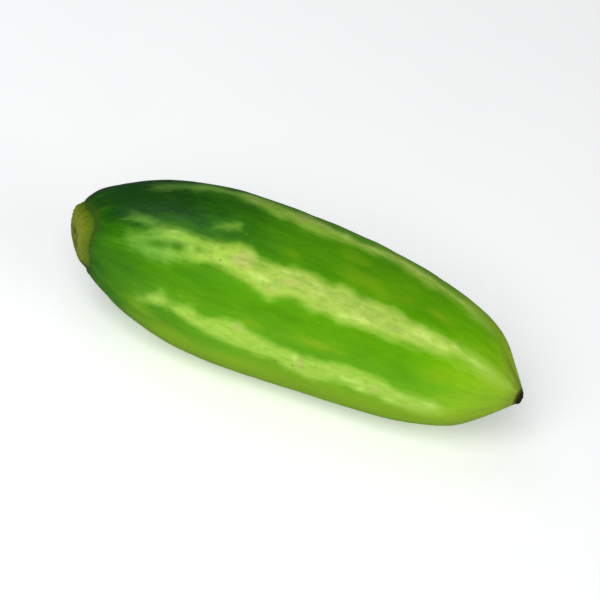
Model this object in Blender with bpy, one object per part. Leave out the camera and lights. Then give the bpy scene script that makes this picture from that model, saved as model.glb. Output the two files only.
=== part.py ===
"""Ivy gourd: one whole fruit, lying on its side as it does on a table.

Metres, +Z up, +X from the stem end to the blossom end. The origin is on the resting plane,
under the middle of the fruit's box. The fruit grew as one piece, so it is one object: the corky
stem scar and the dried tip are shaped into its surface by formulas.
"""

import math

import bmesh
import bpy
from mathutils import Matrix, Vector

MM = 0.001

# The body, measured along its axis from the stem end
LENGTH = 58.1 * MM
RADIUS = 10.62 * MM
BELLY = 21.8 * MM  # the widest place
STEM_POWER = 1.92  # 2 would make the stem half an ellipse
CONE_APEX = 58.5 * MM  # where the cone of the blossom end would close
BLOSSOM_STRETCH = 1.08  # the blossom half is an ellipse this much longer, cut off by the cone
CONE_STEEPNESS = 3.85
CONE_BLEND = 7  # the higher, the crisper the corner between ellipse and cone
CHIN_HEIGHT = 0.42 * MM  # a fuller place on one side of the blossom end
CHIN_PLACE = 44.5 * MM
CHIN_SPREAD = 9.0 * MM
CHIN_ANGLE = math.radians(230)

# The axis bows a little both ways, in a plane that leans between +Y and +Z
BOW_TURN = math.radians(50)
STEM_BOW = 1.43 * MM
STEM_BOW_POWER = 2.35
BLOSSOM_BOW = -2.02 * MM
BLOSSOM_BOW_POWER = 2.5
# Both its ends also lift a little, square to that plane
LIFT_TURN = BOW_TURN + math.pi / 2
LIFT = 1.2 * MM
LIFT_MIDDLE = 24.0 * MM

# Unevenness of the skin
LOBES = 8
LOBE_HEIGHT = 0.05 * MM
WAVE_HEIGHT = 0.07 * MM

# The corky scar that the stalk left, a little off the middle of the stem end
SCAR_RADIUS = 3.6 * MM
SCAR_HEIGHT = 0.50 * MM
SCAR_OFFSET = 3.3 * MM
SCAR_OFFSET_ANGLE = math.radians(206)
SCAR_OFFSET_REACH = 10.0 * MM  # this far from the end's middle the rings are no longer off it
PIT_RADIUS = 1.1 * MM
PIT_DEPTH = 0.70 * MM
CORE_RADIUS = 0.5 * MM
CORE_HEIGHT = 0.5 * MM

# The dried tip that the flower left: a low dome, where the cone is this wide
TIP_RADIUS = 0.92 * MM
TIP_START = CONE_APEX - TIP_RADIUS * (CONE_APEX - BELLY) / (RADIUS * CONE_STEEPNESS)

# How the fruit lies
NOSE_DOWN = math.radians(0.6)  # the tilt at which its weight is over the place it rests on
FLAT_DEPTH = 0.34 * MM  # how far the resting spot is pressed flat

# The grid: points round the fruit, and rings along it
ROUND = 64
PIT_RINGS, SCAR_RINGS, STEM_RINGS, BODY_RINGS, CONE_RINGS, TIP_RINGS = 5, 6, 12, 13, 9, 4

# The pale stripes: where each one runs round the fruit, in degrees from +Y through +Z
STRIPES = (30, 74, 128, 173, 216, 262, 305, 350)
STRIPE_HALF_WIDTH = math.radians(6)
STRIPE_START, STRIPE_END = 5.5 * MM, 55.5 * MM

# The materials: name, colour and roughness of each
MATERIALS = (
    ("green_skin", (0.12, 0.36, 0.012), 0.35),
    ("pale_stripe", (0.45, 0.61, 0.13), 0.38),
    ("scar_cork", (0.27, 0.20, 0.05), 0.8),
    ("dried_tip", (0.035, 0.025, 0.012), 0.85),
)
GREEN_SKIN, PALE_STRIPE, SCAR_CORK, DRIED_TIP = range(len(MATERIALS))


def smooth_step(value, low, high):
    """0 below low, 1 above high, and a smooth rise between them."""
    share = min(max((value - low) / (high - low), 0), 1)
    return share * share * (3 - 2 * share)


def stem_place(radius):
    """Where along the axis the stem half has this radius: half of it is a turned superellipse."""
    share = min(radius / RADIUS, 1)
    return BELLY * (1 - (1 - share**STEM_POWER) ** (1 / STEM_POWER))


def blossom_radius(x):
    """The blossom half: an ellipse, cut off by a blunt cone, with a low dome on its end."""
    if x > TIP_START:
        out = min((x - TIP_START) / (LENGTH - TIP_START), 1)
        return TIP_RADIUS * math.sqrt(1 - out * out)
    share = (x - BELLY) / (CONE_APEX - BELLY)
    ellipse = math.sqrt(1 - (share / BLOSSOM_STRETCH) ** 2)
    cone = CONE_STEEPNESS * (1 - share)
    return RADIUS * (ellipse**-CONE_BLEND + cone**-CONE_BLEND) ** (-1 / CONE_BLEND)


def bow(x):
    """How far the axis is off the straight line at x, in the bow's plane."""
    to_stem = max(1 - x / BELLY, 0)
    to_tip = max((x - BELLY) / (LENGTH - BELLY), 0)
    return STEM_BOW * to_stem**STEM_BOW_POWER + BLOSSOM_BOW * to_tip**BLOSSOM_BOW_POWER


def lift(x):
    """How far the axis has lifted at x, square to the bow's plane."""
    return LIFT * ((x - LIFT_MIDDLE) / (LENGTH - LIFT_MIDDLE)) ** 2


def axis_point(x):
    """The axis's point at x: a straight line's, moved by the bow and the lift."""
    by_bow = bow(x) * Vector((0, math.cos(BOW_TURN), math.sin(BOW_TURN)))
    by_lift = lift(x) * Vector((0, math.cos(LIFT_TURN), math.sin(LIFT_TURN)))
    return Vector((x, 0, 0)) + by_bow + by_lift


def axis_at(x):
    """The axis's point at x, and its direction there."""
    step = 0.01 * MM
    return axis_point(x), (axis_point(x + step) - axis_point(x - step)).normalized()


def unevenness(x, angle):
    """What the skin stands out beyond a smooth turned body: faint lobes, slow waves and a chin."""
    fade = math.sin(math.pi * min(max(x / LENGTH, 0), 1)) ** 1.5
    turns = math.tau * x / LENGTH
    lobes = LOBE_HEIGHT * math.cos(LOBES * (angle - math.radians(STRIPES[2])))
    waves = math.sin(2 * angle + 1.1 * turns) + 0.7 * math.sin(3 * angle - 2 * turns + 1.0)
    to_chin = math.remainder(angle - CHIN_ANGLE, math.tau)
    chin = math.exp(-(((x - CHIN_PLACE) / CHIN_SPREAD) ** 2) - to_chin**2)
    return fade * (lobes + WAVE_HEIGHT * waves) + CHIN_HEIGHT * chin


def scar_height(distance, angle):
    """How far the stem scar stands out along the axis: an uneven collar round a pit with a core."""
    outline = 1 + 0.08 * math.cos(3 * angle + 0.4) + 0.05 * math.cos(5 * angle + 2.0)
    out = distance / outline
    collar = SCAR_HEIGHT * (1 - smooth_step(out, 0.78 * SCAR_RADIUS, 1.03 * SCAR_RADIUS))
    pit = PIT_DEPTH * (1 - smooth_step(out, 0.55 * PIT_RADIUS, 1.25 * PIT_RADIUS))
    core = CORE_HEIGHT * (1 - smooth_step(distance, 0.4 * CORE_RADIUS, 1.6 * CORE_RADIUS))
    return collar - pit + core


def skin_point(x, radius, angle):
    """A point this far from the axis at x, at this angle from +Y through +Z."""
    centre, along = axis_at(x)
    out = Vector((0, math.cos(angle), math.sin(angle)))
    return centre + (out - along * out.dot(along)).normalized() * radius


def stem_point(distance, angle):
    """A point of the stem half, this far from the scar's middle and at this angle round it."""
    slide = SCAR_OFFSET * (1 - smooth_step(distance, 0, SCAR_OFFSET_REACH))
    y = distance * math.cos(angle) + slide * math.cos(SCAR_OFFSET_ANGLE)
    z = distance * math.sin(angle) + slide * math.sin(SCAR_OFFSET_ANGLE)
    radius, turn = math.hypot(y, z), math.atan2(z, y)
    x = stem_place(radius)
    point = skin_point(x, radius + unevenness(x, turn), turn)
    return point - axis_at(x)[1] * scar_height(distance, angle)


def blossom_point(x, angle):
    """A point of the blossom half, at this place along the axis."""
    return skin_point(x, blossom_radius(x) + unevenness(x, angle), angle)


def even_steps(low, high, count):
    """Evenly spaced values above low, up to high."""
    return [low + (high - low) * (k + 1) / count for k in range(count)]


def stem_rings():
    """How far the stem half's rings are from the scar's middle, closest over the scar."""
    pit_edge, scar_edge = 1.4 * PIT_RADIUS, 1.15 * SCAR_RADIUS
    turns = even_steps(math.asin(scar_edge / RADIUS), math.pi / 2, STEM_RINGS)
    return (
        even_steps(0, pit_edge, PIT_RINGS)
        + even_steps(pit_edge, scar_edge, SCAR_RINGS)
        + [RADIUS * math.sin(turn) for turn in turns]
    )


def blossom_rings():
    """Where the blossom half's rings are along the axis, closest at the tip."""
    cone_start = BELLY + 0.78 * (CONE_APEX - BELLY)
    turns = even_steps(0, math.pi / 2, TIP_RINGS + 1)[:-1]
    return (
        even_steps(BELLY, cone_start, BODY_RINGS)
        + even_steps(cone_start, TIP_START, CONE_RINGS)
        + [TIP_START + (LENGTH - TIP_START) * math.sin(turn) for turn in turns]
    )


def in_stripe(x, angle):
    """Whether a place on the skin belongs to a pale stripe."""
    nearest = min(abs(math.remainder(angle - math.radians(s), math.tau)) for s in STRIPES)
    return nearest < STRIPE_HALF_WIDTH and STRIPE_START < x < STRIPE_END


def whole_fruit():
    """The closed skin: rings of points joined by four-sided faces, and a fan at each end."""
    bm = bmesh.new()
    angles = [math.tau * k / ROUND for k in range(ROUND)]
    rings = [[bm.verts.new(stem_point(d, angle)) for angle in angles] for d in stem_rings()]
    rings += [[bm.verts.new(blossom_point(x, angle)) for angle in angles] for x in blossom_rings()]
    places = [0 if d <= SCAR_RADIUS else stem_place(d) for d in stem_rings()] + blossom_rings()
    stem_pole = bm.verts.new(stem_point(0, 0))
    tip_pole = bm.verts.new(axis_point(LENGTH))
    for k in range(ROUND):
        after = (k + 1) % ROUND
        bm.faces.new((stem_pole, rings[0][k], rings[0][after])).material_index = SCAR_CORK
        bm.faces.new((tip_pole, rings[-1][after], rings[-1][k])).material_index = DRIED_TIP
        for x, ring, further in zip(places[1:], rings, rings[1:]):
            face = bm.faces.new((ring[k], further[k], further[after], ring[after]))
            face.material_index = PALE_STRIPE if in_stripe(x, angles[k]) else GREEN_SKIN
            if x == 0 or x > TIP_START:
                face.material_index = SCAR_CORK if x == 0 else DRIED_TIP
    bmesh.ops.recalc_face_normals(bm, faces=bm.faces)
    return bm


def lay_down(bm):
    """Tilts the fruit to its balance, presses the resting spot flat and sets the origin under it."""
    bmesh.ops.rotate(bm, verts=bm.verts, cent=Vector(), matrix=Matrix.Rotation(NOSE_DOWN, 3, "Y"))
    floor = min(v.co.z for v in bm.verts) + FLAT_DEPTH
    everything = bm.verts[:] + bm.edges[:] + bm.faces[:]
    cut = bmesh.ops.bisect_plane(
        bm,
        geom=everything,
        dist=1e-7,
        plane_co=Vector((0, 0, floor)),
        plane_no=Vector((0, 0, -1)),
        clear_outer=True,
    )
    rim = [item for item in cut["geom_cut"] if isinstance(item, bmesh.types.BMEdge)]
    foot = bmesh.ops.contextual_create(bm, geom=rim)["faces"]
    lows = [min(v.co[axis] for v in bm.verts) for axis in range(2)]
    highs = [max(v.co[axis] for v in bm.verts) for axis in range(2)]
    shift = Vector((-(lows[0] + highs[0]) / 2, -(lows[1] + highs[1]) / 2, -floor))
    bmesh.ops.translate(bm, verts=bm.verts, vec=shift)
    bmesh.ops.recalc_face_normals(bm, faces=bm.faces)
    for face in bm.faces:
        face.smooth = face not in foot


def material(name, colour, roughness):
    """A Principled BSDF of one colour."""
    made = bpy.data.materials.new(name)
    made.use_nodes = True
    shader = made.node_tree.nodes["Principled BSDF"]
    shader.inputs["Base Color"].default_value = (*colour, 1)
    shader.inputs["Roughness"].default_value = roughness
    shader.inputs["Metallic"].default_value = 0
    return made


def make_gourd():
    """The fruit as one object, with its materials given face by face."""
    bm = whole_fruit()
    lay_down(bm)
    mesh = bpy.data.meshes.new("gourd")
    bm.to_mesh(mesh)
    bm.free()
    for name, colour, roughness in MATERIALS:
        mesh.materials.append(material(name, colour, roughness))
    gourd = bpy.data.objects.new("gourd", mesh)
    bpy.context.scene.collection.objects.link(gourd)


def clear_scene():
    """Removes what a new Blender file holds."""
    for thing in list(bpy.data.objects):
        bpy.data.objects.remove(thing)


clear_scene()
make_gourd()
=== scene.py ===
# %% [markdown]
# # An ivy gourd, from its plain solid to a finished fruit
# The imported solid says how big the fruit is, where it lies and how it rests. This file gives it its
# looks: a much finer skin on the same formulas, the corky scar that the stalk left, the dried tip
# that the flower left, and their finishes. Lengths in the formulas are millimetres, because that is
# how a small fruit is measured. Blender's own unit is the metre, so each mesh is scaled once, at
# the end.

import math

import bpy
import numpy as np
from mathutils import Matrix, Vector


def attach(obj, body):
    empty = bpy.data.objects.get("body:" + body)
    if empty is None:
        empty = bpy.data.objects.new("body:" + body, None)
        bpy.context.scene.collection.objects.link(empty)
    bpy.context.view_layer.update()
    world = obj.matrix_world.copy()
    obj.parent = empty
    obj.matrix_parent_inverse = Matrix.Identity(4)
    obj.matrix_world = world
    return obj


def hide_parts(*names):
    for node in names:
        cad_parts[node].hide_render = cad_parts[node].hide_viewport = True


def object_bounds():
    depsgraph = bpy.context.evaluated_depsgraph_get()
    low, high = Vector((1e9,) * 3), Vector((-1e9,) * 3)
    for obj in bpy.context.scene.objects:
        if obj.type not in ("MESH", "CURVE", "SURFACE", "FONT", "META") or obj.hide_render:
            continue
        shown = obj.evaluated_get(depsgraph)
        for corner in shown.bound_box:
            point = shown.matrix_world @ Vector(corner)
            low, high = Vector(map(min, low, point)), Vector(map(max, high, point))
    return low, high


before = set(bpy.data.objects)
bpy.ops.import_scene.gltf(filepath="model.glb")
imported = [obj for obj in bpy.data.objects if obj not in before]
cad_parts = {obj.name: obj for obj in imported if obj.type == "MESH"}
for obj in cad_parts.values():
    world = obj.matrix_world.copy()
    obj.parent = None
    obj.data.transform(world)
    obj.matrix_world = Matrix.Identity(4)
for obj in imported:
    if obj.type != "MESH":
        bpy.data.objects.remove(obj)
solid_low, solid_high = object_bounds()
MM = 0.001
print("solid, mm:", [round((high - low) / MM, 2) for low, high in zip(solid_low, solid_high)])

# %% [markdown]
# ## The camera
# The photographer looked down at the fruit from about 40 degrees, from far enough away that it
# shows hardly any perspective, and the blossom end points down to the right. A long lens gives the
# flat view. The fruit stays level on the table, so it is the camera that is turned about its own
# line of sight.

# %% Camera
VIEW_HEIGHT = math.radians(40)
VIEW_ROLL = math.radians(19.07)
PICTURE_WIDTH = 72.7  # mm across the whole picture, at the fruit
LENS, SENSOR = 200.0, 36.0


def stand(thing, right, up, back, place):
    """Puts a camera or a lamp at its place, with its own X, Y and Z axes along these directions."""
    turn = np.eye(4)
    turn[:3] = np.stack([right, up, back, place], axis=1)
    thing.matrix_world = turn.T.tolist()  # Blender takes one column after the other here
    bpy.context.scene.collection.objects.link(thing)


def aim_camera(target):
    """A camera that looks at the target, with its right and up turned about its line of sight."""
    right = np.array([1, 0, 0])
    up = np.array([0, math.sin(VIEW_HEIGHT), math.cos(VIEW_HEIGHT)])
    back = np.array([0, -math.cos(VIEW_HEIGHT), math.sin(VIEW_HEIGHT)])
    rolled_right = right * math.cos(VIEW_ROLL) + up * math.sin(VIEW_ROLL)
    rolled_up = up * math.cos(VIEW_ROLL) - right * math.sin(VIEW_ROLL)
    lens = bpy.data.cameras.new("camera")
    lens.lens, lens.sensor_width = LENS, SENSOR
    lens.clip_start, lens.clip_end = 0.01, 20
    camera = bpy.data.objects.new("camera", lens)
    distance = PICTURE_WIDTH * MM * LENS / SENSOR
    stand(camera, rolled_right, rolled_up, back, target + back * distance)
    return camera


middle = np.array((solid_low + solid_high) / 2)
camera = aim_camera(middle)
bpy.context.scene.camera = camera
print("camera at, mm:", (np.array(camera.matrix_world.translation) / MM).round(1))

# %% [markdown]
# ## The light
# The picture has soft daylight from above, on a white ground that throws light back under the
# fruit. A few large softboxes do this. Deep green skin only looks deep when it mirrors little
# white, so the room itself stays dim, and the widest boxes light the skin without showing in it.

# %% Softboxes and room
ROOM = (0.085, 0.09, 0.095)


def unit(vectors):
    """The same directions, one unit long."""
    return vectors / np.linalg.norm(vectors, axis=-1, keepdims=True)


def softbox(name, azimuth, height, distance, size, watts, colour=(1, 1, 1), mirrored=True):
    """A square light facing the fruit, placed by its compass angle and its height in degrees."""
    lamp = bpy.data.lights.new(name, "AREA")
    lamp.size, lamp.energy, lamp.color = size * MM, watts, colour
    box = bpy.data.objects.new(name, lamp)
    box.visible_glossy = mirrored
    around, above = math.radians(azimuth), math.radians(height)
    level = math.cos(above)
    back = np.array([math.sin(around) * level, -math.cos(around) * level, math.sin(above)])
    side = unit(np.cross([0, 0, 1], back))
    stand(box, side, np.cross(back, side), back, middle + back * distance * MM)


softbox("key_box", -20, 46, 600, 420, 3.15, mirrored=False)
softbox("sheen_box", -104, 62, 380, 220, 0.20, colour=(0.86, 0.93, 1.0))
softbox("fill_box", 60, 34, 600, 360, 0.78, mirrored=False)

world = bpy.data.worlds.new("room")
world.use_nodes = True
world.node_tree.nodes["Background"].inputs["Color"].default_value = (*ROOM, 1)
world.node_tree.nodes["Background"].inputs["Strength"].default_value = 1
bpy.context.scene.world = world
bpy.context.scene.view_settings.view_transform = "Standard"

# %% [markdown]
# ## The body's outline
# An ivy gourd is nearly a turned shape. The stem half is half a fat ellipse lying on its side, with
# its corners a little fuller or leaner than an ellipse's, which one power sets. The blossom half is
# a longer ellipse cut off by a blunt cone. Taking the smaller of the two would leave a sharp
# corner, so a high power blends them, and a low dome closes the end.

# %% Outline of the body
LENGTH, RADIUS, BELLY = 58.1, 10.62, 21.8
STEM_POWER = 1.92
CONE_APEX, BLOSSOM_STRETCH, CONE_STEEPNESS, CONE_BLEND = 58.5, 1.08, 3.85, 7
TIP_RADIUS = 0.92
TIP_START = CONE_APEX - TIP_RADIUS * (CONE_APEX - BELLY) / (RADIUS * CONE_STEEPNESS)


def stem_place(radius):
    """Where along the axis the stem half has this radius."""
    share = np.minimum(radius / RADIUS, 1)
    return BELLY * (1 - (1 - share**STEM_POWER) ** (1 / STEM_POWER))


def blossom_radius(x):
    """The radius of the blossom half: ellipse and cone, blended, and the dome past TIP_START."""
    share = np.clip((x - BELLY) / (CONE_APEX - BELLY), 0, 1)
    ellipse = np.sqrt(1 - (share / BLOSSOM_STRETCH) ** 2)
    cone = np.maximum(CONE_STEEPNESS * (1 - share), 1e-6)
    blended = RADIUS * (ellipse**-CONE_BLEND + cone**-CONE_BLEND) ** (-1 / CONE_BLEND)
    out = np.clip((x - TIP_START) / (LENGTH - TIP_START), 0, 1)
    return np.where(x > TIP_START, TIP_RADIUS * np.sqrt(1 - out * out), blended)


print("widest, mm:", 2 * RADIUS, "radius at the tip, mm:", blossom_radius(TIP_START).round(2))

# %% [markdown]
# ## The bow and the unevenness
# No fruit is straight. This one bows one way at the stem and the other way at the tip, and both
# ends lift a little. Eight faint lobes run along it under the pale stripes, slow waves make it
# slightly out of round, and one side of the blossom end is fuller. These are the solid's own
# formulas, so the fine skin lies where the solid does.

# %% Axis and unevenness
BOW_TURN = math.radians(50)
STEM_BOW, STEM_BOW_POWER = 1.43, 2.35
BLOSSOM_BOW, BLOSSOM_BOW_POWER = -2.02, 2.5
LIFT, LIFT_MIDDLE = 1.2, 24.0
LOBES, LOBE_HEIGHT, LOBE_TURN = 8, 0.05, math.radians(128)
WAVE_HEIGHT = 0.07
CHIN_HEIGHT, CHIN_PLACE, CHIN_SPREAD, CHIN_TURN = 0.42, 44.5, 9.0, math.radians(230)


def axis_point(x):
    """The axis's point at x: a straight line's, moved by the bow and, square to it, by the lift."""
    to_stem = np.maximum(1 - x / BELLY, 0)
    to_tip = np.maximum((x - BELLY) / (LENGTH - BELLY), 0)
    bow = STEM_BOW * to_stem**STEM_BOW_POWER + BLOSSOM_BOW * to_tip**BLOSSOM_BOW_POWER
    lift = LIFT * ((x - LIFT_MIDDLE) / (LENGTH - LIFT_MIDDLE)) ** 2
    y = bow * math.cos(BOW_TURN) - lift * math.sin(BOW_TURN)
    z = bow * math.sin(BOW_TURN) + lift * math.cos(BOW_TURN)
    return np.stack([x, y, z], -1)


def axis_direction(x):
    """Which way the axis runs at x."""
    return unit(axis_point(x + 0.01) - axis_point(x - 0.01))


def hill(value, middle, width):
    """A soft hill: 1 at its middle, about a third one width away on either side, then nearly 0."""
    return np.exp(-(((value - middle) / width) ** 2))


def unevenness(x, angle):
    """What the skin stands out beyond a smooth turned body: lobes, waves and the fuller side."""
    fade = np.sin(np.pi * np.clip(x / LENGTH, 0, 1)) ** 1.5
    turns = math.tau * x / LENGTH
    lobes = LOBE_HEIGHT * np.cos(LOBES * (angle - LOBE_TURN))
    waves = np.sin(2 * angle + 1.1 * turns) + 0.7 * np.sin(3 * angle - 2 * turns + 1.0)
    to_chin = np.angle(np.exp(1j * (angle - CHIN_TURN)))
    chin = CHIN_HEIGHT * hill(x, CHIN_PLACE, CHIN_SPREAD) * hill(to_chin, 0, 1)
    return fade * (lobes + WAVE_HEIGHT * waves) + chin


ends = axis_point(np.array([0, LENGTH]))
print("axis off straight at the ends, mm:", ends[:, 1:].round(2).tolist())

# %% [markdown]
# ## The skin as a function of two numbers
# A point of the skin is given by its reach and its angle. In the stem half the reach is the
# distance from the middle of the scar, and the rings slide off the axis towards the scar, as the
# growth lines do on the real fruit. From the belly on it grows with the distance along the axis.
# One function then covers the whole fruit, and each later shape and pattern is a formula on the
# same two numbers.

# %% Points of the skin
SCAR_OFFSET, SCAR_OFFSET_TURN, SCAR_OFFSET_REACH = 3.3, math.radians(206), 10.0


def smooth_step(value, low, high):
    """0 below low, 1 above high, and a smooth rise between them."""
    share = np.clip((value - low) / (high - low), 0, 1)
    return share * share * (3 - 2 * share)


def smooth_drop(value, low, high):
    """1 below low, 0 above high, and a smooth drop between them."""
    return 1 - smooth_step(value, low, high)


def along_axis(reach, angle):
    """The place along the axis, the radius there and the true angle of a point of the skin."""
    distance = np.minimum(reach, RADIUS)
    slide = SCAR_OFFSET * smooth_drop(distance, 0, SCAR_OFFSET_REACH)
    y = distance * np.cos(angle) + slide * math.cos(SCAR_OFFSET_TURN)
    z = distance * np.sin(angle) + slide * math.sin(SCAR_OFFSET_TURN)
    past_belly = reach > RADIUS
    x = np.where(past_belly, BELLY + reach - RADIUS, stem_place(np.hypot(y, z)))
    radius = np.where(past_belly, blossom_radius(x), np.hypot(y, z))
    return x, radius, np.arctan2(z, y)


def skin_points(reach, angle):
    """The points of the uneven body: out from the bowed axis, square to it, by the radius."""
    x, radius, turn = along_axis(reach, angle)
    out = np.stack([np.zeros_like(x), np.cos(turn), np.sin(turn)], -1)
    along = axis_direction(x)
    out = unit(out - along * (out * along).sum(-1, keepdims=True))
    return axis_point(x) + out * (radius + unevenness(x, turn))[..., None]


def outward(points):
    """The direction straight out of a grid of points, from its neighbours along and around."""
    along = np.gradient(points, axis=0)
    around = np.roll(points, -1, axis=1) - np.roll(points, 1, axis=1)
    return unit(np.cross(around, along))


# %% [markdown]
# ## Where the grid's rings lie
# The rings crowd where the shape turns fast, over the scar and at the tip, and are wide apart on
# the quiet belly. Steps of about 0.2 mm there are a third of the finest dimple that the light can
# show. Patterns are placed by a second angle, counted upwards from the line that faces the camera.

# %% Grid of the skin
AROUND = 300
SCAR_EDGE, CONE_START = 4.2, 50.4
CONE_REACH, TIP_REACH, END_REACH = (RADIUS + x - BELLY for x in (CONE_START, TIP_START, LENGTH))


def steps(low, high, count):
    """Evenly spaced values above low, up to high."""
    return np.linspace(low, high, count + 1)[1:]


def rings_of_skin():
    """The reach of each ring from the scar's middle to the tip: five runs, one after the other."""
    quarter = math.pi / 2
    over_scar = steps(0, SCAR_EDGE, 46)
    stem_half = RADIUS * np.sin(steps(math.asin(SCAR_EDGE / RADIUS), quarter, 94))
    blossom_half = steps(RADIUS, CONE_REACH, 118)
    cone = steps(CONE_REACH, TIP_REACH, 46)
    dome = TIP_REACH + (END_REACH - TIP_REACH) * np.sin(steps(0, quarter, 15)[:-1])
    return np.concatenate([over_scar, stem_half, blossom_half, cone, dome])


angles = np.arange(AROUND) * math.tau / AROUND
reach, angle = np.meshgrid(rings_of_skin(), angles, indexing="ij")
plain_skin = skin_points(reach, angle)
skin_x, skin_radius, skin_turn = along_axis(reach, angle)
FACING = 140.0  # the angle that faces the camera, in degrees from +Y through +Z
seen_angle = np.degrees(np.angle(np.exp(1j * (np.radians(FACING) - skin_turn))))
print("rings and points round:", reach.shape)

# %% [markdown]
# ## Laying the fruit down
# The skin is tilted by the solid's own angle and set down where the solid's tip ends. Where a fruit
# rests, its skin is pressed flat, so points that would lie below the table are brought up to it.

# %% Lay it down
NOSE_DOWN, FLAT_DEPTH = math.radians(0.6), 0.34


def tilted(points):
    """The points turned by the nose-down angle about the Y axis."""
    x, y, z = np.moveaxis(points, -1, 0)
    cosine, sine = math.cos(NOSE_DOWN), math.sin(NOSE_DOWN)
    return np.stack([x * cosine + z * sine, y, z * cosine - x * sine], -1)


flat_box = tilted(plain_skin).reshape(-1, 3)
lowest, highest = flat_box.min(0), flat_box.max(0)
to_tip_end = solid_high.x / MM - highest[0]
set_down = np.array([to_tip_end, -(lowest[1] + highest[1]) / 2, -lowest[2] - FLAT_DEPTH])


def lay_down(points):
    """Points of the upright formulas, as they lie on the table."""
    laid = tilted(points) + set_down
    laid[..., 2] = np.maximum(laid[..., 2], 0)
    return laid


fine_box = lay_down(plain_skin).reshape(-1, 3)
print("off the solid's box, mm:", (fine_box.min(0) - np.array(solid_low) / MM).round(3),
      (fine_box.max(0) - np.array(solid_high) / MM).round(3))

# %% [markdown]
# ## A closed mesh from rings
# Each piece here is a stack of rings with a point at both ends. Four-sided faces join the rings and
# a fan of triangles closes each end, all turned the same way, so that the faces look outwards.

# %% Mesh of rings
def add_piece(name, points, first_pole, last_pole):
    """Joins rings of points, and a pole at each end, into one closed smooth mesh."""
    count, round_count = points.shape[:2]
    index = np.arange(count * round_count).reshape(count, round_count)
    after = np.roll(index, -1, axis=1)
    sides = np.stack([index[:-1], after[:-1], after[1:], index[1:]], -1).reshape(-1, 4)
    first, last = index.size, index.size + 1
    fans = [(first, b, a) for a, b in zip(index[0].tolist(), after[0].tolist())]
    fans += [(last, a, b) for a, b in zip(index[-1].tolist(), after[-1].tolist())]
    corners = lay_down(np.concatenate([points.reshape(-1, 3), [first_pole, last_pole]])) * MM
    mesh = bpy.data.meshes.new(name)
    mesh.from_pydata(corners.tolist(), [], sides.tolist() + fans)
    mesh.polygons.foreach_set("use_smooth", np.ones(len(mesh.polygons), bool))
    piece = bpy.data.objects.new(name, mesh)
    bpy.context.scene.collection.objects.link(piece)
    print(name, "has", len(sides) * 2 + len(fans), "triangles")
    return piece


def with_poles(values):
    """A value for each ring point, and the nearest ring's mean for each of the two poles."""
    ends = [values[0].mean(0), values[-1].mean(0)]
    return np.concatenate([values.reshape(-1, *values.shape[2:]), ends])


def give(piece, name, values):
    """Stores one number, or one vector, at each point, for the finish to read by its name."""
    flat = with_poles(values)
    kind, field = ("FLOAT", "value") if flat.ndim == 1 else ("FLOAT_VECTOR", "vector")
    stored = piece.data.attributes.new(name, kind, "POINT")
    stored.data.foreach_set(field, flat.astype(np.float32).ravel())


# %% [markdown]
# ## Fine relief
# Up close the skin isn't smooth: it has shallow dimples, a ring of folds where it meets the scar
# and puckers that run into the dried tip. Waves of about one length in many directions add up to an
# even, random-looking unevenness. Waves round the fruit have whole numbers of turns, so that they
# meet themselves and leave no seam.

# %% Relief of the skin
def dimples(points, size, seed, waves=36):
    """Smooth unevenness, mostly from -1 to 1: many waves about size long, in all directions."""
    draw = np.random.default_rng(seed)
    direction = unit(draw.normal(size=(waves, 3)))
    pace = direction * math.tau / (size * draw.uniform(0.75, 1.35, (waves, 1)))
    start = draw.uniform(0, math.tau, waves)
    total = np.zeros(points.shape[:-1])
    for k in range(waves):
        total += np.cos(points @ pace[k] + start[k])
    return total / math.sqrt(waves)


def folds(angle, lowest, highest, seed):
    """Folds round the fruit, mostly from -1 to 1: waves of whole turns, each at its own start."""
    draw = np.random.default_rng(seed)
    total = np.zeros_like(angle)
    for turns in range(lowest, highest + 1):
        total += draw.normal() * np.cos(turns * angle + draw.uniform(0, math.tau))
    return total / math.sqrt(highest - lowest + 1)


scar_folds = folds(angle, 9, 26, seed=3)
scar_folds *= smooth_step(reach, 2.6, 3.9) * smooth_drop(reach, 3.9, 7.5)
tip_folds = folds(angle, 5, 13, seed=4)
tip_folds *= smooth_step(skin_x, 48, 57) * skin_radius / RADIUS
relief = 0.030 * dimples(plain_skin, 5.0, seed=1)
relief += 0.010 * dimples(plain_skin, 1.7, seed=2)
relief += 0.05 * scar_folds + 0.16 * tip_folds
print("relief, mm:", relief.min().round(3), "to", relief.max().round(3))

# %% [markdown]
# ## The scar's seat and the skin
# The scar is a piece of its own, so that its cork can have its own finish. The skin sinks under it,
# and the two meet in an uneven ring where one comes up through the other, as cork grows through a
# skin. The same is done at the dried tip. Round the scar the skin has a low rim, and on its upper
# side it also swells a little, which makes that shoulder rounder than the plain formula does.

# %% Skin with its seats
SCAR_RADIUS = 3.6
SEAT_DEPTH, TIP_SEAT_DEPTH = 0.45, 0.30
RIM_HEIGHT, RIM_WIDTH = 0.07, 0.35
SWELLING, SWELLING_PLACE, SWELLING_WIDTH, SWELLING_ANGLE = 0.26, 1.3, 1.2, 80


def scar_outline(angle):
    """How much further out than a circle the scar's edge lies at this angle."""
    uneven = 0.08 * np.cos(3 * angle + 0.4) + 0.05 * np.cos(5 * angle + 2.0)
    return 1 + uneven + 0.012 * folds(angle, 8, 30, seed=5)


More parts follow.
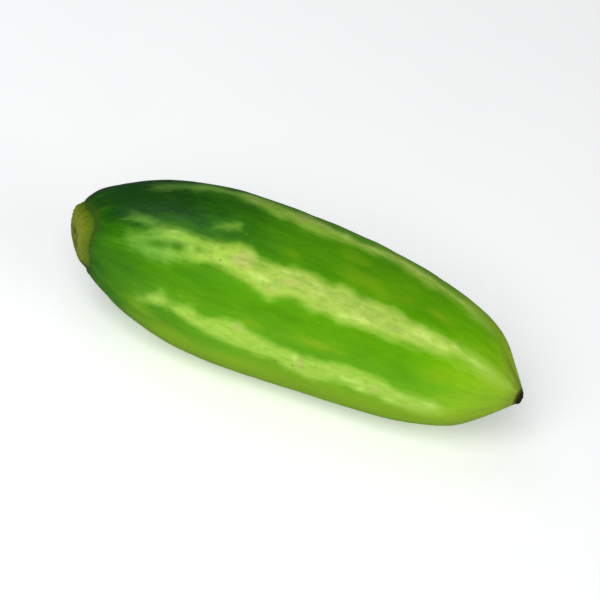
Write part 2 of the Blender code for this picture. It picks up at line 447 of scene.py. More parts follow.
past_scar = reach / scar_outline(angle) - SCAR_RADIUS
seat = SEAT_DEPTH * smooth_drop(past_scar, -0.55, 0.05)
tip_seat = TIP_SEAT_DEPTH * smooth_step(skin_x - TIP_START, 0.02, 0.25)
rim = RIM_HEIGHT * hill(past_scar, RIM_WIDTH, RIM_WIDTH)
swelling = SWELLING * hill(past_scar, SWELLING_PLACE, SWELLING_WIDTH)
swelling *= 0.5 + 0.5 * np.cos(np.radians(seen_angle - SWELLING_ANGLE))
skin_lift = relief + rim + swelling - seat - tip_seat
skin_grid = plain_skin + outward(plain_skin) * skin_lift[..., None]
skin_poles = skin_grid[0].mean(0), skin_grid[-1].mean(0)
skin = add_piece("skin", skin_grid, *skin_poles)
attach(skin, "root")
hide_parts("gourd")

# %% [markdown]
# ## The cork of the scar
# A ripe stalk breaks off at a corky plate and leaves a disc with a pit, and in the pit the broken
# end of the woody core. The disc's top follows the skin's own surface plus a height for the collar,
# the pit and the core. It turns under past its edge and comes back inside the fruit, which closes
# it. Its upper edge stands highest, level with the swollen skin above it.

# %% Scar
SCAR_HEIGHT, SCAR_RIM, SCAR_END = 0.50, SCAR_RADIUS * 1.08, SCAR_RADIUS * 1.188
PIT_RADIUS, PIT_DEPTH = 1.1, 0.70
CORE_RADIUS, CORE_HEIGHT = 0.5, 0.5
UPPER_EDGE, UPPER_EDGE_TURN = 0.22, math.radians(60)
TOP_RINGS, UNDER_RINGS, UNDER_DEPTH = 90, 12, 1.2


def scar_height(distance, angle):
    """How far the cork stands out: collar less turned edge and pit, plus core and upper edge."""
    out = distance / scar_outline(angle)
    collar = SCAR_HEIGHT * smooth_drop(out, 0.78 * SCAR_RADIUS, 1.03 * SCAR_RADIUS)
    under = 0.5 * smooth_step(out, SCAR_RADIUS - 0.12, SCAR_RIM)
    pit = PIT_DEPTH * smooth_drop(out, 0.55 * PIT_RADIUS, 1.25 * PIT_RADIUS)
    core = CORE_HEIGHT * smooth_drop(distance, 0.4 * CORE_RADIUS, 1.6 * CORE_RADIUS)
    upper_side = np.maximum(np.cos(angle - UPPER_EDGE_TURN), 0) ** 2
    return collar - under - pit + core + UPPER_EDGE * upper_side * smooth_step(distance, 2.0, 3.4)


under_rings = np.linspace(SCAR_END, 0.4, UNDER_RINGS)
scar_rings = np.concatenate([steps(0, SCAR_END, TOP_RINGS), under_rings])
scar_reach, scar_angle = np.meshgrid(scar_rings, angles, indexing="ij")
scar_base = skin_points(scar_reach, scar_angle)
crumbs = 0.045 * dimples(scar_base, 0.9, seed=6) + 0.02 * dimples(scar_base, 0.4, seed=7)
cracks = 0.035 * folds(scar_angle, 10, 34, seed=8) * smooth_step(scar_reach, 1.2, 2.6)
scar_lift = scar_height(scar_reach, scar_angle) + crumbs + cracks
scar_lift[TOP_RINGS:] = -UNDER_DEPTH
scar_x = along_axis(scar_reach, scar_angle)[0]
scar_grid = scar_base - axis_direction(scar_x) * scar_lift[..., None]
scar = add_piece("stem_scar", scar_grid, scar_grid[0].mean(0), scar_grid[-1].mean(0))
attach(scar, "root")

# %% [markdown]
# ## The dried tip
# The flower dries up and drops off, and leaves a dark nub that is flush with the cone of the fruit.
# It is a low dome with dry wrinkles, and its foot turns in under the skin.

# %% Dried tip
FOOT_RINGS, FOOT_DEPTH, DOME_RINGS = 7, 0.5, 41
DOME_START, DOME_RADIUS = TIP_START - 0.12, TIP_RADIUS + 0.03
foot_width = np.linspace(0.2, 1, FOOT_RINGS + 1)[:-1]
dome_share = np.sin(np.linspace(0, math.pi / 2, DOME_RINGS + 1)[:-1])
tip_share = np.concatenate([np.zeros(FOOT_RINGS), dome_share])
tip_width = np.concatenate([foot_width, np.sqrt(1 - dome_share**2)])[:, None]
share, tip_angle = np.meshgrid(tip_share, angles[::2], indexing="ij")
tip_x = DOME_START + share * (LENGTH - DOME_START)
wrinkled = DOME_RADIUS * tip_width * (1 + 0.05 * folds(tip_angle, 5, 16, seed=9) * tip_width)
tip_out = np.stack([np.zeros_like(share), np.cos(tip_angle), np.sin(tip_angle)], -1)
tip_grid = axis_point(tip_x) + tip_out * wrinkled[..., None]
tip_lift = 0.05 * dimples(tip_grid, 0.5, seed=10)
tip_lift[:FOOT_RINGS] = -FOOT_DEPTH
tip_grid += axis_direction(tip_x) * tip_lift[..., None]
dried_tip = add_piece("dried_tip", tip_grid, tip_grid[0].mean(0), tip_grid[-1].mean(0))
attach(dried_tip, "root")

# %% [markdown]
# ## Where the pale stripes run
# Pale broken stripes are what one knows an ivy gourd by. Each is a band between a lower and an
# upper edge, both ragged, given at a few places along the fruit. Straight lines join the places,
# and the mean of four lines that are shifted a little rounds each corner off. The measure that the
# finish needs is how many millimetres a point lies inside the band, less than nothing outside: from
# that it can make an edge of any softness.

# %% Measuring inside a stripe
CORNER_SHIFTS = (-0.55, -0.2, 0.2, 0.55)


def degrees_from(centre):
    """How far round the fruit each skin point is from this angle, from -180 to 180."""
    return (seen_angle - centre + 180) % 360 - 180


def edge_course(x, edge):
    """A band's edge at each skin point: straight from place to place, with rounded corners."""
    return sum(np.interp(skin_x + shift, x, edge) for shift in CORNER_SHIFTS) / len(CORNER_SHIFTS)


def inside_band(places, centre):
    """Millimetres inside a band, from rows of place along the axis, lower edge and upper edge."""
    x, low, high = np.array(places, float).T
    turn = degrees_from(centre)
    width = np.maximum(skin_radius, 1.0) * math.pi / 180
    above = (turn - edge_course(x, low - centre)) * width
    below = (edge_course(x, high - centre) - turn) * width
    ends = np.minimum(skin_x - x[0], x[-1] - skin_x)
    return np.minimum(np.minimum(above, below), ends)


# %% [markdown]
# ## The stripes that the camera sees
# The middle stripe begins as a pale ring round a greener core, widens in steps and fades towards
# the tip. The lower one has long teeth, and the upper one is faint and broken. Their edges were put
# down with a row wherever an edge changes its course.

# %% Stripes in view
MIDDLE = [
    (6.8, -1, 2), (7.4, -5, 6.5), (8.2, -6.5, 10), (9, -6.5, 15), (11, -6, 18.5), (12.4, -5.5, 21),
    (13.2, -1.5, 19.5), (15, 1, 18), (15.3, -1, 18.3), (15.7, 2.5, 18), (17, 4, 19.5),
    (18.6, 4.5, 20.5), (19.1, 4, 25), (20, 2.5, 23), (21.8, 1, 23), (22.2, -0.5, 17),
    (23.5, -3, 17), (25, -5.5, 17.5), (26.5, -2, 19.5), (28, 1, 20.5), (30, -2.5, 19.5),
    (31, -4, 19), (31.5, -2, 15.5), (32, -1, 18.5), (33, -2, 20), (34.5, -5, 19.5),
    (35.4, -1.5, 17), (37, -2.5, 18.5), (39, -0.5, 21), (40, -2, 20.5), (41.5, -1.5, 18),
    (42.2, -1, 16.5), (43.5, 0.5, 18.5), (45, 0.5, 17.5), (46.5, 2, 18), (47.6, 4, 18.5),
    (49, 5, 17.5), (50, 4, 17.5), (51, 2.5, 18), (53.5, 3, 18), (55.5, 4.5, 16), (57.2, 7, 12),
]
LOWER = [
    (10.9, -45, -42), (11.4, -45.5, -38), (12.3, -40.5, -31), (13, -38.5, -29.5), (14, -37, -31.5),
    (15.6, -38, -31), (16.8, -40, -26.5), (17.3, -41, -32), (18.5, -42, -33), (20, -44.5, -29),
    (21, -43, -27), (23, -46, -27), (24.5, -45, -30), (26, -46.5, -32), (28, -45.5, -34),
    (29.4, -49.5, -33), (30.4, -51.5, -33.5), (31.1, -52, -34.5), (31.5, -50, -36), (32, -53, -34),
    (34.2, -54.5, -34), (35.2, -50, -32), (36.4, -47.5, -31.5), (38.2, -47, -31), (39.4, -52, -31),
    (40.2, -50.5, -32.5), (41.8, -49, -32), (42.7, -53, -35), (43.3, -54, -38), (45, -55, -38.5),
    (46.6, -59, -38.5), (47.3, -57, -38), (49, -56, -42), (50.2, -53, -49),
]
UPPER = [
    (6.9, 58, 64), (7.6, 56, 67), (8.6, 60, 68), (11.5, 63, 72), (12.3, 59, 76), (13.0, 62, 78),
    (13.5, 66, 78), (14.1, 65, 76), (16.5, 66, 73), (18.2, 63, 77), (19.6, 61, 79), (21, 58, 77),
    (23, 54, 74), (24.6, 57, 72), (26, 53, 79), (28.5, 53, 73), (30.2, 56, 65), (31.4, 57, 73),
    (33, 57, 64), (35, 58, 70), (37.5, 61, 76), (40, 57, 74), (42.3, 54, 73), (44, 57, 67),
    (46.5, 57, 66), (48.2, 54, 71), (50, 54, 66), (51.6, 57, 60),
]
# The two short dashes below are painted highlights, given as pale stripes.
HIGHLIGHT_DASH = [
    (16.1, 28.5, 30.5), (16.9, 29.5, 33.5), (17.8, 31, 35.5), (18.6, 33, 36.5), (18.9, 34.5, 36.5),
]
SHORT_HIGHLIGHT_DASH = [(6.0, 18, 20), (6.7, 17, 21.5), (7.8, 16.5, 21.5), (8.8, 16.5, 19.5)]
seen_stripes = [inside_band(rows, 0) for rows in (MIDDLE, LOWER, UPPER, HIGHLIGHT_DASH, SHORT_HIGHLIGHT_DASH)]
print("middle stripe's widest, degrees:", max(high - low for _, low, high in MIDDLE))

# %% [markdown]
# ## The stripes on the far side
# No picture shows them, so they follow a rule: five more stripes, about as far from each other as
# the ones in view, whose edges wander by a seeded draw every one or two millimetres. Squeezing the
# measure near both ends and on the upper side gives every stripe a softer edge there.

# %% Stripes out of view
def wandering_stripe(centre, start, end, seed):
    """Rows of a stripe about 12 degrees wide, with each edge drawn anew every 1 to 2 mm."""
    draw = np.random.default_rng(seed)
    x = np.cumsum(np.concatenate([[start], draw.uniform(0.8, 2.2, 60)]))
    x = x[x < end]
    drift = 3.5 * np.sin(x / 9 + draw.uniform(0, 6)) + draw.normal(0, 0.8, len(x))
    half = np.clip(6.5 + draw.normal(0, 2.6, len(x)), 1.0, 12)
    half *= smooth_step(x, start - 1, start + 4)
    half *= 1 - 0.6 * smooth_step(x, end - 9, end)
    upper_half = half * draw.uniform(0.7, 1.2, len(x))
    return np.stack([x, centre + drift - half, centre + drift + upper_half], -1)


HIDDEN = [  # angle, start, end and seed
    (-92, 12, 46, 21), (109, 6.5, 53, 22), (150, 9, 50, 23), (-165, 6, 55, 24), (-122, 8, 52, 25),
]
hidden_stripes = [inside_band(wandering_stripe(*row), row[0]) for row in HIDDEN]
stripe_reach = np.clip(np.max(seen_stripes + hidden_stripes, axis=0), -4, 4)
soft_ends = smooth_drop(skin_x, 9, 15) + smooth_step(skin_x, 46, 50)
soft_side = smooth_step(seen_angle, 40, 55)
stripe_reach *= 1 - np.maximum(0.5 * soft_ends, 0.25 * soft_side)
print("share of the skin in stripes:", round(float((stripe_reach > 0).mean()), 2))

# %% [markdown]
# ## Patches
# Inside a stripe some places are chalky, some have turned tan and some stay green. Between the
# stripes a few places have begun to ripen, and the tip has a rusty tinge. Each such patch is a soft
# hill with its middle, its half length and half width, its slant and its strength.

# %% Patches
def patches(rows):
    """The highest of soft hills at each skin point.

    A row holds a hill's place, angle, half length, half width, slant and strength.
    """
    total = np.zeros_like(skin_x)
    for x, centre, long, wide, slant, strength in rows:
        along = (skin_x - x) / long
        across = (degrees_from(centre) - slant * (skin_x - x)) / wide
        total = np.maximum(total, strength * hill(along, 0, 1) * hill(across, 0, 1))
    return total


tan_patches = patches([
    (34, 10, 20, 14, 0, 0.55), (20.8, 13, 1.7, 6, 0, 1.15), (26.8, 10, 1.9, 2.0, 1.2, 1.15),
    (28.6, 13, 1.2, 2.5, 0, 0.7), (25.2, 2, 1.4, 4, 0, 0.7), (36.5, 18.5, 1.5, 2.5, 0, 0.7),
    (41, 7, 1.8, 2.6, 0.8, 0.9), (41.4, 18, 0.8, 3, 0, 0.8), (46.9, 16, 1.1, 2.6, 0, 0.8),
    (38.7, 17, 0.5, 4, 0, 0.5), (22.9, -30, 0.8, 3, 0, 0.9), (31.5, -43, 0.45, 8, 0, 0.9),
    (41.2, -45, 0.6, 6, 0, 0.7), (43, -41, 0.4, 4, 0, 0.6), (30.5, -45, 0.9, 3, 0, 0.4),
    (26, 70, 0.9, 12, 0, 0.8), (45, 74, 1, 6, 0, 0.5),
])
chalk_patches = patches([
    (39.5, 67, 3.2, 2.5, -0.6, 0.6), (45.5, 62, 2.5, 2.4, -0.4, 0.5), (19.2, 70, 1.1, 4, 0, 0.8),
    (12.9, 71, 0.6, 4, 0, 0.8), (27.5, 66, 2.5, 3, 0, 0.6), (34.5, 64, 2, 2.5, 0, 0.7),
    (23.3, 6, 1.3, 2, -0.8, 0.8), (26.3, 15, 0.7, 1.4, 0, 0.8), (30.5, 11, 0.8, 4, 0, 0.6),
    (36, 3.2, 2.4, 2.4, 0.6, 0.8), (18.3, 7.5, 1.3, 1.6, 0, 0.5), (44, 11, 1.3, 5, 0, 1.0),
    (46.7, 10, 0.9, 2, 0, 0.7), (48.3, 14.5, 0.5, 2, 0, 0.7), (51.5, 10.5, 2.2, 4, 0, 0.5),
    (7.8, -2.5, 0.9, 4, 0, 0.9), (10.4, -3.5, 1.3, 3, 0.9, 0.9), (11.6, 17, 1.3, 3, 0, 0.25),
    (12.6, -35, 0.5, 5, 0, 0.35), (38, -42, 1.2, 2.5, 0.5, 0.5), (39.7, -47, 0.5, 3, 0, 0.45),
    (43.4, -49, 0.7, 2, 0, 0.5), (44.4, -41, 0.5, 4, 0, 0.4), (48.6, -44, 0.9, 4, 0, 0.5),
    (30.7, -37, 0.5, 4, 0, 0.6), (19.6, 66, 0.7, 6, 0, 0.6), (41, 64, 0.5, 3, 1.5, 0.7),
    (42.3, 66, 0.3, 4, 0, 0.6), (31.4, 66, 0.4, 6, 0, 0.6),
])
green_patches = patches([
    (10.6, 4.0, 2.3, 4.0, 1.6, 1.0), (12.6, 6.5, 1.2, 3.8, 0, 1.2), (15.2, 10.5, 0.7, 2.2, 0, 0.8),
    (29, 0, 1.2, 2.2, 0, 0.6), (8.6, 7, 1.2, 3, 0, 0.45), (14.4, -34, 0.8, 6, 0, 0.5),
    (43.6, 0, 2.5, 1.8, 0, 0.45), (49.7, 2, 1.3, 4, 0, 0.5), (23.3, 13, 1.1, 2, 0, 0.5),
    (45.6, 3, 0.9, 2.5, 0, 0.4), (27.6, -1.5, 0.9, 2.0, 0, 0.5),
])
ripe_patches = patches([
    (17, -22, 3, 5, 0, 0.5), (32, -23, 3.5, 4, 0, 0.7), (24, -24, 2, 3, 0, 0.5),
    (44.8, 33, 2, 5, 0, 0.7), (48, -14, 4, 9, 0, 0.5), (34, 44, 5, 7, 0, 0.5),
    (40.5, 31, 2.5, 6, 0, 0.5), (26, 28, 2, 4, 0, 0.4), (36, 32, 8, 14, 0, 0.42),
    (53, -52, 3.5, 12, 0, 0.9), (12, -55, 4, 8, 0, 0.6), (56.5, 45, 2, 30, 0, 0.8),
])
rust = patches([
    (55.8, 58, 1.6, 26, 0, 1.0), (53.2, 66, 2.6, 12, 0, 0.6), (52.6, -66, 2.4, 5, 0, 0.8),
    (55.8, -40, 1.2, 14, 0, 0.5),
])
kinds = tan_patches, chalk_patches, green_patches, ripe_patches, rust
print("strongest tan, chalk, green, ripe and rust:", [kind.max().round(2) for kind in kinds])

# %% [markdown]
# ## How deep the green is
# The ground colour isn't even. It is darkest on the upper side near the stem, partly a deeper green
# that the fruit has there and partly painted shade. It clears towards the belly, and turns
# yellow-green at the blossom end, where the fruit starts to ripen. The lower side and the ridge on
# top
# are a little clearer than the rest: painted light, from below and on the top edge. One smooth
# measure from 0, deep, to 1, clear, holds this, and the finish turns it into colours. A second one,
# ripeness, says where the green turns to olive-yellow: in the ripe patches and all along the lower
# side.

# %% Depth of the green
clearness = 0.58 * (1 - np.exp(-skin_x / 10)) - 0.04 + 0.29 * smooth_step(skin_x, 42, 56)

# Painted shade, over a deeper green of the fruit's own: the upper side near the stem is darkened.
deep_and_shaded_side = smooth_step(seen_angle, -20, 36) * (1 - 0.6 * smooth_step(seen_angle, 60, 140))
deep_and_shaded_reach = smooth_step(skin_x, 0, 7) * (1 - 0.68 * smooth_step(skin_x, 17, 31))
clearness -= 0.33 * deep_and_shaded_side * deep_and_shaded_reach * smooth_drop(skin_x, 50, 56)

# Painted light: the lower side is made clearer in place of light thrown up from below.
painted_light_below = smooth_step(-seen_angle, 25, 60) * smooth_drop(-seen_angle, 100, 170)
clearness += 0.10 * painted_light_below * smooth_step(skin_x, 8, 24)

# Painted light: the top edge is made clearer in place of light falling on it.
painted_top_light = smooth_step(seen_angle, 58, 76) * smooth_drop(seen_angle, 95, 125)
clearness += 0.13 * painted_top_light * (smooth_step(skin_x, 12, 22) + smooth_step(skin_x, 30, 42))

low_side = smooth_step(-seen_angle, 40, 66) * smooth_drop(-seen_angle, 110, 170)
ripeness = np.maximum(ripe_patches, low_side * smooth_step(skin_x, 6, 16))
print("clearness:", clearness.min().round(2), "to", clearness.max().round(2))

# %% [markdown]
# ## How strongly a stripe shows
# A stripe isn't equally pale all along. The upper one and the short dashes are faint near the stem,
# every stripe begins and ends weaker than its middle, and where a patch stays green the pale colour
# nearly goes. The two short dashes are painted highlights. The first few millimetres by the stem are
# young skin, whose stripes are a cool light green and not yet yellowish; on the upper side that cool
# green reaches further, which gives the painted highlight dashes a highlight's cool tint. Only the
# upper arc of the ring that begins the middle stripe is further on than that.

# %% Strength of the stripes
upper_faint = 0.36 * hill(seen_angle, 66, 22) * (1 - 0.85 * smooth_step(skin_x, 18, 32))
# The short dashes are painted highlights; this keeps them faint near the stem.
highlight_dashes_faint = 0.40 * hill(seen_angle, 30, 10) * smooth_drop(skin_x, 19, 20.5)
start_faint = 0.14 * smooth_drop(skin_x, 7, 12)
end_faint = 0.11 * smooth_step(skin_x, 47, 50) + 0.10 * smooth_step(skin_x, 53, 57)
faint = upper_faint + highlight_dashes_faint + start_faint + end_faint
paleness = np.clip(1 - faint - 0.85 * green_patches, 0.05, 1)

# The cool young green reaches further on the upper side, which also tints the painted highlight
# dashes.
young_and_highlight_end = 17 + 7 * smooth_step(seen_angle, 24, 34)
young = smooth_drop(skin_x, 10, young_and_highlight_end) * (1 - 0.7 * smooth_step(-seen_angle, 15, 25))
young *= 1 - patches([(11.4, 16, 2.9, 5, 0, 0.8)])
print("paleness:", paleness.min().round(2), "to", paleness.max().round(2))

# %% [markdown]
# ## A map that grows with the skin
# Streaks in a real skin were stretched as the fruit grew: they run along it and close up at both
# ends. A pattern laid on the map of a straight tube, the arc along the skin by the turn round it,
# does the same. All of it is stored at the mesh's points for the finish to read. The cork's measure
# is how far out on the disc a point lies, and its low side counts as further out, since it is
# green.

# %% Store the measures
arc_steps = np.linalg.norm(np.diff(plain_skin, axis=0), axis=-1).mean(1)
arc_to_ring = np.concatenate([[0], np.cumsum(arc_steps)])
arc = np.broadcast_to(arc_to_ring[:, None], reach.shape)
skin_map = np.stack([arc, RADIUS * np.cos(angle), RADIUS * np.sin(angle)], -1)
for measure, values in (
    ("skin_map", skin_map),
    ("stripe", stripe_reach),
    ("paleness", paleness),
    ("tan", tan_patches),
    ("chalk", chalk_patches),
    ("clearness", clearness),
    ("ripeness", ripeness),
    ("rust", rust),
    ("young", young),
    ("to_scar", past_scar),
    ("to_tip", TIP_START - skin_x - 0.30 * np.cos(np.radians(seen_angle))),
):
    give(skin, measure, values)
scar_low = scar_base[0, 0, 2] - scar_base[..., 2]
greener = 0.9 * smooth_step(scar_low, 0.8, 2.8)
give(scar, "from_middle", scar_reach / scar_outline(scar_angle) + greener)
print("arc along the skin, mm:", round(float(arc.max()), 1))

# %% [markdown]
# ## Nodes as sums
# A finish is a net of nodes. Writing its sums as sums keeps it readable, so a small class stands
# for one output of a node, and each operation on it adds the Math node it stands for. Every other
# node comes from one method that is told the kind of node, its settings and what goes into its
# inputs.

# %% Finish maker
class Wire:
    """One output of a node, on which + - and * add Math nodes."""

    def __init__(self, finish, socket):
        self.finish, self.socket = finish, socket

    def maths(self, operation, first, second):
        return self.finish.add("Math", {"operation": operation}, {0: first, 1: second})

    def __add__(self, other):
        return self.maths("ADD", self, other)

    def __sub__(self, other):
        return self.maths("SUBTRACT", self, other)

    def __rsub__(self, other):
        return self.maths("SUBTRACT", other, self)

    def __mul__(self, other):
        return self.maths("MULTIPLY", self, other)

    __radd__, __rmul__ = __add__, __mul__


class Finish:
    """A material, built one node at a time around its Principled shader."""

    def __init__(self, name, **even):
        self.material = bpy.data.materials.new(name)
        self.material.use_nodes = True
        self.tree = self.material.node_tree
        self.shader = self.tree.nodes["Principled BSDF"]
        for socket, value in even.items():
            self.shader.inputs[socket.replace("_", " ")].default_value = value

    def add(self, kind, settings=None, inputs=None, output=0):
        """A new node of this kind: its settings first, then its inputs' values or wires."""
        node = self.tree.nodes.new("ShaderNode" + kind)
        for name, value in (settings or {}).items():
            if name == "stops":
                while len(node.color_ramp.elements) < len(value):
                    node.color_ramp.elements.new(0.5)
                for stop, (place, colour) in zip(node.color_ramp.elements, value):
                    stop.position, stop.color = place, (*colour, 1)
            else:
                setattr(node, name, value)
        self.connect(node, inputs or {})
        return Wire(self, node.outputs[output])

    def connect(self, node, inputs):
        """Puts values and wires into a node's inputs."""
        for name, value in inputs.items():
            if isinstance(value, Wire):
                self.tree.links.new(value.socket, node.inputs[name])
            else:
                node.inputs[name].default_value = value

    def stored(self, name, output=2):
        """A measure kept at the piece's points: its number, or with output 1 its vector."""
        return self.add("Attribute", {"attribute_name": name}, output=output)

    def stretched(self, vector, scale):
        """The vector with each part multiplied, which makes a pattern on it finer that way."""
        return self.add("VectorMath", {"operation": "MULTIPLY"}, {0: vector, 1: scale})

    def own_place(self, scale=1000):
        """The point's place on the piece itself, in millimetres unless another scale is given."""
        return self.stretched(self.add("TexCoord", output=3), (scale, scale, scale))

    def noise(self, vector, detail=2.0, rough=0.5):
        """Cloudy noise from 0 to 1, with features one unit of the vector across."""
        values = {"Vector": vector, "Scale": 1.0, "Detail": detail, "Roughness": rough}
        return self.add("TexNoise", None, values)

    def cells(self, vector, feature="F1"):
        """How far it is to the nearest of scattered points, or to the line between two of them."""
        return self.add("TexVoronoi", {"feature": feature}, {"Vector": vector, "Scale": 1.0})

    def rise(self, value, low, high):
        """0 at low, 1 at high, smooth between and level beyond. With low above high it drops."""
        settings = {"interpolation_type": "SMOOTHSTEP"}
        return self.add("MapRange", settings, {"Value": value, "From Min": low, "From Max": high})

    def blend(self, share, first, second):
        """A colour between two, by share."""
        return self.add("Mix", {"data_type": "RGBA"}, {0: share, 6: first, 7: second}, output=2)

    def bump(self, height, deep, before=None):
        """A normal from heights of 0 to 1 that are deep metres apart."""
        values = {"Height": height, "Distance": deep, "Strength": 1.0}
        if before:
            values["Normal"] = before
        return self.add("Bump", None, values)

    def wear(self, piece, **inputs):
        """Feeds the shader and gives the finish to a piece."""
        self.connect(self.shader, {name.replace("_", " "): value for name, value in inputs.items()})
        piece.data.materials.append(self.material)
        print(self.material.name, "has", len(self.tree.nodes), "nodes")


# %% [markdown]
# ## The finish of the skin
# From the ground up: a ramp turns clearness into greens, after cloudy blotches and streaks along
# the fruit have shifted it. That clearness holds painted shade on the upper side near the stem and
# painted light on the lower side and the top edge. The stripes go over it with edges that noise has
# made ragged, then chalk, tan and green flecks inside them, then tiny pale pores, and last the olive
# rim at the scar and the tip. Two of the pale dashes among the stripes are painted highlights. The
# skin is waxy: a fairly smooth shine over fine grain, with light going a little way in. Blender's
# colours are shares of light and not the numbers of a picture file, so they look dark when written
# down.

# %% Colours of the skin
GREENS = [
    (0.00, (0.007, 0.062, 0.002)), (0.10, (0.020, 0.120, 0.001)), (0.30, (0.054, 0.222, 0.001)),
    (0.50, (0.098, 0.325, 0.001)), (0.62, (0.132, 0.390, 0.001)), (0.80, (0.235, 0.490, 0.005)),
    (0.90, (0.300, 0.545, 0.010)), (1.00, (0.420, 0.600, 0.030)),
]
RIPE, YOUNG = (0.255, 0.420, 0.008, 1), (0.185, 0.450, 0.056, 1)
PALE, CHALKY, TAN = (0.33, 0.570, 0.040, 1), (0.60, 0.80, 0.17, 1), (0.47, 0.515, 0.130, 1)
PORE, SCAB = (0.36, 0.58, 0.16, 1), (0.050, 0.075, 0.008, 1)
SCAR_OLIVE, RUSTY = (0.048, 0.095, 0.005, 1), (0.200, 0.225, 0.030, 1)
DRIED = (0.012, 0.013, 0.003, 1)
print("greens from deep to clear:", len(GREENS))

# %% Ground colour of the skin
waxy = Finish(
    "waxy_skin",
    Specular_IOR_Level=0.22,
    Subsurface_Weight=0.10,
    Subsurface_Radius=(0.7, 1.0, 0.25),
    Subsurface_Scale=0.0008,
)
place = waxy.stored("skin_map", output=1)
streak = waxy.noise(waxy.stretched(place, (0.22, 1.5, 1.5)), detail=4, rough=0.55)
blotch = waxy.noise(waxy.stretched(place, (0.13, 0.3, 0.3)), detail=3)
grain = waxy.noise(waxy.stretched(place, (2.2, 2.6, 2.6)), detail=3)
teeth = waxy.noise(waxy.stretched(place, (0.50, 0.85, 0.85)), detail=3)
fleck = waxy.noise(waxy.stretched(place, (0.7, 1.7, 1.7)), detail=4, rough=0.6)
ripening = waxy.noise(waxy.stretched(place, (0.16, 0.22, 0.22)))

stripe = waxy.stored("stripe") + 1.0 * (teeth - 0.5) + 0.8 * (fleck - 0.5) + 0.5 * (streak - 0.5)
halo = waxy.rise(stripe, -1.6, 0.1)  # the green is a little clearer beside a stripe
# The clearness carries painted shade near the stem and painted light below and on the top edge.
green = waxy.stored("clearness") + 0.30 * (blotch - 0.5) + 0.18 * (streak - 0.5)
green = green + 0.08 * (grain - 0.5) + 0.06 * halo
ground = waxy.add("ValToRGB", {"stops": GREENS}, {"Fac": green})
ripe = waxy.stored("ripeness") + 1.2 * (ripening - 0.5)
ground = waxy.blend(0.65 * waxy.rise(ripe, 0.05, 0.95), ground, RIPE)
print("ground colour with", len(waxy.tree.nodes), "nodes")

# %% Stripes over the ground
inside = waxy.rise(stripe, -0.65, 0.75)
chalk = waxy.stored("chalk") + 0.9 * (streak - 0.5)
pale = waxy.blend(waxy.rise(chalk, -0.35, 0.95), PALE, CHALKY)
pale = waxy.blend(0.85 * waxy.stored("young"), pale, YOUNG)
tan = waxy.stored("tan") + 0.5 * (fleck - 0.5)
pale = waxy.blend(0.9 * waxy.rise(tan, 0.05, 0.95), pale, TAN)
still_green = waxy.rise(fleck + 0.5 * streak, 0.66, 0.92)
striped = waxy.blend(inside * waxy.stored("paleness") * (1 - 0.34 * still_green), ground, pale)
print("stripes too with", len(waxy.tree.nodes), "nodes")

# %% Pores, scabs and both ends
pores = waxy.cells(waxy.stretched(place, (0.8, 0.8, 0.8)))
pore = waxy.rise(pores, 0.15, 0.05) * waxy.rise(grain, 0.50, 0.62)
speckled = waxy.blend(0.22 * pore, striped, PORE)
scabs = waxy.cells(waxy.stretched(place, (0.24, 0.3, 0.3)))
speckled = waxy.blend(0.45 * waxy.rise(scabs, 0.07, 0.03), speckled, SCAB)
by_scar = waxy.rise(waxy.stored("to_scar") + 0.9 * (fleck - 0.5), 1.0, 0.0)
rimmed = waxy.blend(0.80 * by_scar, speckled, SCAR_OLIVE)
to_tip = waxy.stored("to_tip") + 0.9 * (fleck - 0.5) + 0.5 * (streak - 0.5)
rust_fleck = waxy.stored("rust") * waxy.rise(streak + 0.5 * fleck, 0.55, 0.95)
rusty = waxy.blend(0.55 * waxy.rise(to_tip, 1.7, 0.1) + 0.6 * rust_fleck, rimmed, RUSTY)
finished = waxy.blend(0.9 * waxy.rise(to_tip, 0.22, -0.05), rusty, DRIED)

orange_peel = waxy.bump(grain, 0.00006)
pored = waxy.bump(1 - pore, 0.00001, orange_peel)
waxy.wear(
    skin,
    Base_Color=finished,
    Roughness=0.36 + 0.14 * (grain - 0.5) + 0.06 * inside + 0.25 * by_scar,
    Normal=pored,
)
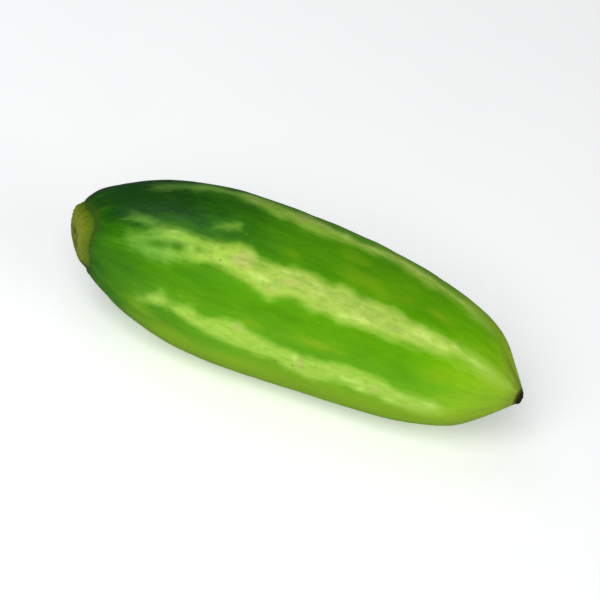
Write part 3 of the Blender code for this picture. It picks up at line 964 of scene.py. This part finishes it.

# %% [markdown]
# ## The finish of the cork
# Cork is a dry, matt crumb of dead cells: ochre where it is thick, olive where the green shows
# through at its edge and low on the disc, and brown in the pit, where sap dried. The core is paler
# wood. One ramp from the middle outwards holds all of it. Its colours are darker and more olive than
# lit cork, and that darkness is painted shade over the whole disc.

# %% Cork finish
cork = Finish("scar_cork", Specular_IOR_Level=0.2)
crumb = cork.noise(cork.own_place(2400), detail=5, rough=0.65)
crack = cork.rise(cork.cells(cork.own_place(2000), "DISTANCE_TO_EDGE"), 0.10, 0.0)
from_middle = cork.stored("from_middle") + 0.7 * (crumb - 0.5)
# Painted shade: the whole ramp is darker and more olive than lit cork.
SHADED_CORKS = [
    (0.00, (0.20, 0.195, 0.045)), (0.10, (0.15, 0.150, 0.028)), (0.22, (0.100, 0.120, 0.008)),
    (0.34, (0.18, 0.215, 0.016)), (0.48, (0.210, 0.255, 0.016)), (0.66, (0.175, 0.230, 0.010)),
    (0.82, (0.095, 0.170, 0.004)), (0.95, (0.045, 0.115, 0.002)),
]
RAMP_END = 4.0  # mm from the middle
CRUMBLY, CRACKED = (0.15, 0.145, 0.012, 1), (0.07, 0.060, 0.010, 1)
disc = cork.add("ValToRGB", {"stops": SHADED_CORKS}, {"Fac": from_middle * (1 / RAMP_END)})
mottled = cork.blend(0.35 * cork.rise(crumb, 0.45, 0.7), disc, CRUMBLY)
cork.wear(
    scar,
    Base_Color=cork.blend(0.14 * crack, mottled, CRACKED),
    Roughness=0.70 + 0.25 * (crumb - 0.5),
    Normal=cork.bump(crumb - 0.3 * crack, 0.00009),
)

# %% [markdown]
# ## The finish of the dried tip
# Nearly black where it is thickest, dark brown at the foot, and matt, with dry creases.

# %% Dried tip finish
HUSK_BLACK, HUSK_BROWN = (0.009, 0.009, 0.003, 1), (0.040, 0.033, 0.010, 1)
husk = Finish("dried_tip", Specular_IOR_Level=0.25)
crease = husk.noise(husk.stretched(husk.own_place(), (2.0, 5.0, 5.0)), detail=4, rough=0.6)
husk.wear(
    dried_tip,
    Base_Color=husk.blend(husk.rise(crease, 0.35, 0.7), HUSK_BLACK, HUSK_BROWN),
    Roughness=0.60 + 0.3 * (crease - 0.5),
    Normal=husk.bump(crease, 0.00015),
)

# %% [markdown]
# ## The table
# A plain pale ground, wide enough that no view shows its edge: opal glass, lit a little from below,
# as product photographers use for a white ground with soft shadows. The skin doesn't mirror it, or
# its deep greens would turn to grey at the edges. It is part of the stage and not of the fruit.

# %% Table
HALF = 3  # metres from the middle to each edge
corners = [(-HALF, -HALF, 0), (HALF, -HALF, 0), (HALF, HALF, 0), (-HALF, HALF, 0)]
table_mesh = bpy.data.meshes.new("table")
table_mesh.from_pydata(corners, [], [(0, 1, 2, 3)])
table = bpy.data.objects.new("table", table_mesh)
bpy.context.scene.collection.objects.link(table)
table.visible_glossy = False
opal = Finish(
    "opal_glass",
    Specular_IOR_Level=0.05,
    Roughness=0.9,
    Emission_Color=(1, 1, 1, 1),
    Emission_Strength=0.30,
)
cloud = opal.noise(opal.own_place(60))
opal.wear(table, Base_Color=opal.blend(cloud, (0.80, 0.80, 0.80, 1), (0.84, 0.84, 0.835, 1)))
